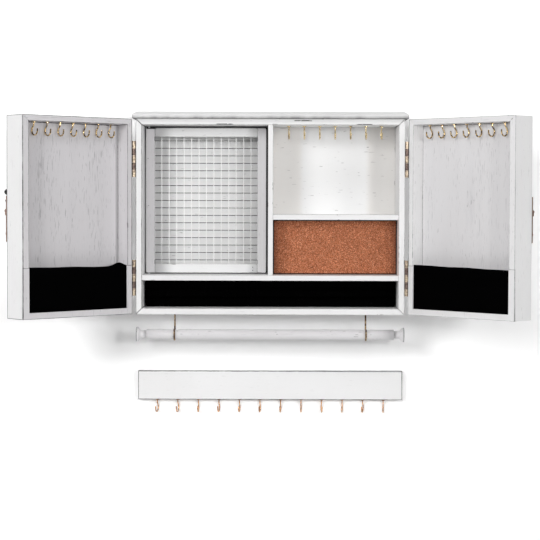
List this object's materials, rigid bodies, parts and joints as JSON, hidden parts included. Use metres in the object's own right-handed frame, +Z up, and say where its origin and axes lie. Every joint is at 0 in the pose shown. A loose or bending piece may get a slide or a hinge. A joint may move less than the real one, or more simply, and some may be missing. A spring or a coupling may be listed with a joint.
{
  "type": "wall-mounted jewelry box",
  "caption": "White wooden wall cabinet for jewelry with box-shaped doors, a mesh panel, a cork bay, cup hooks, a hanging bracelet rod and a separate hook strip.",
  "frame": {"origin": "on the wall plane, halfway between the cabinet's two keyhole hangers", "axes": "+X to the viewer's right, +Y into the wall, +Z up; the front faces -Y"},
  "size_m": [0.8495, 0.2741, 0.5165],
  "materials": {
    "white_paint": "white paint, rubbed at the edges",
    "cork": "fine cork sheet",
    "black_velvet": "black velvet over foam",
    "black_cloth": "black stretch cloth",
    "brass": "plated, bright",
    "antique_brass": "aged",
    "steel": "zinc plated",
    "white_wire": "painted white",
    "grey_wire": "paint rubbed off to grey",
    "black_iron": "black, satin"
  },
  "bodies": {
    "cabinet": {"top_cap": "white_paint", "top_board": "white_paint", "bottom_board": "white_paint", "left_side": "white_paint", "right_side": "white_paint", "back_panel": "white_paint", "hanging_rail": "white_paint", "divider": "white_paint", "upper_shelf": "white_paint", "lower_shelf": "white_paint", "cork_panel": "cork", "ring_cushion": "black_velvet", "ring_board": "white_paint", "necklace_hooks": "brass", "rod_hooks": "brass", "hanger_plates": "steel", "hanger_screws": "steel", "hook_strip": "white_paint", "strip_hooks": "brass", "case_hinge_leaves": "brass", "hinge_pins": "brass", "case_hinge_screws": "brass"},
    "left_door": {"left_door_top": "white_paint", "left_door_bottom": "white_paint", "left_door_hinge_board": "white_paint", "left_door_free_board": "white_paint", "left_door_panel": "white_paint", "left_door_planks": "white_paint", "left_strip_frame": "white_paint", "left_pocket": "black_cloth", "left_door_hooks": "brass", "left_door_leaves": "brass", "left_door_screws": "brass", "left_pull_plate": "antique_brass", "latch_post": "black_iron"},
    "right_door": {"right_door_top": "white_paint", "right_door_bottom": "white_paint", "right_door_hinge_board": "white_paint", "right_door_free_board": "white_paint", "right_door_panel": "white_paint", "right_door_planks": "white_paint", "right_strip_frame": "white_paint", "right_pocket": "black_cloth", "right_door_hooks": "brass", "right_door_leaves": "brass", "right_door_screws": "brass", "right_pull_plate": "antique_brass", "latch_stud": "black_iron"},
    "mesh_panel": {"mesh_stiles": "white_paint", "mesh_rails": "white_paint", "mesh_upright_wires": "white_wire", "mesh_cross_wires": "grey_wire", "mesh_pivot_pins": "steel"},
    "bracelet_rod": {"bracelet_rod": "white_paint"},
    "latch_hook": {"latch_hook": "black_iron"},
    "left_pull": {"left_drop_pull": "antique_brass"},
    "right_pull": {"right_drop_pull": "antique_brass"}
  },
  "joints": [
    {"name": "left_door_swing", "type": "hinge", "parent": "cabinet", "child": "left_door", "pos_m": [-0.228, -0.1128, -0.13175], "axis": [0, 0, 1], "range_deg": [-44.5, 135.5]},
    {"name": "right_door_swing", "type": "hinge", "parent": "cabinet", "child": "right_door", "pos_m": [0.228, -0.1128, -0.13175], "axis": [0, 0, 1], "range_deg": [-134.5, 45.5]},
    {"name": "mesh_panel_swing", "type": "hinge", "parent": "cabinet", "child": "mesh_panel", "pos_m": [-0.207, -0.051, -0.1043], "axis": [0, 0, 1], "range_deg": [-90, 0]},
    {"name": "rod_lift", "type": "slide", "parent": "cabinet", "child": "bracelet_rod", "axis": [0, 0, 1], "range_m": [0, 0.02]},
    {"name": "latch_turn", "type": "hinge", "parent": "left_door", "child": "latch_hook", "pos_m": [-0.42033, -0.23353, -0.0915], "axis": [-0.7009, 0.7133, 0], "range_deg": [-90, 180]},
    {"name": "left_pull_swing", "type": "hinge", "parent": "left_door", "child": "left_pull", "pos_m": [-0.42132, -0.23281, -0.1215], "axis": [0.7133, 0.7009, 0], "range_deg": [0, 80]},
    {"name": "right_pull_swing", "type": "hinge", "parent": "right_door", "child": "right_pull", "pos_m": [0.41919, -0.23617, -0.1215], "axis": [0.7009, -0.7133, 0], "range_deg": [0, 80]}
  ]
}
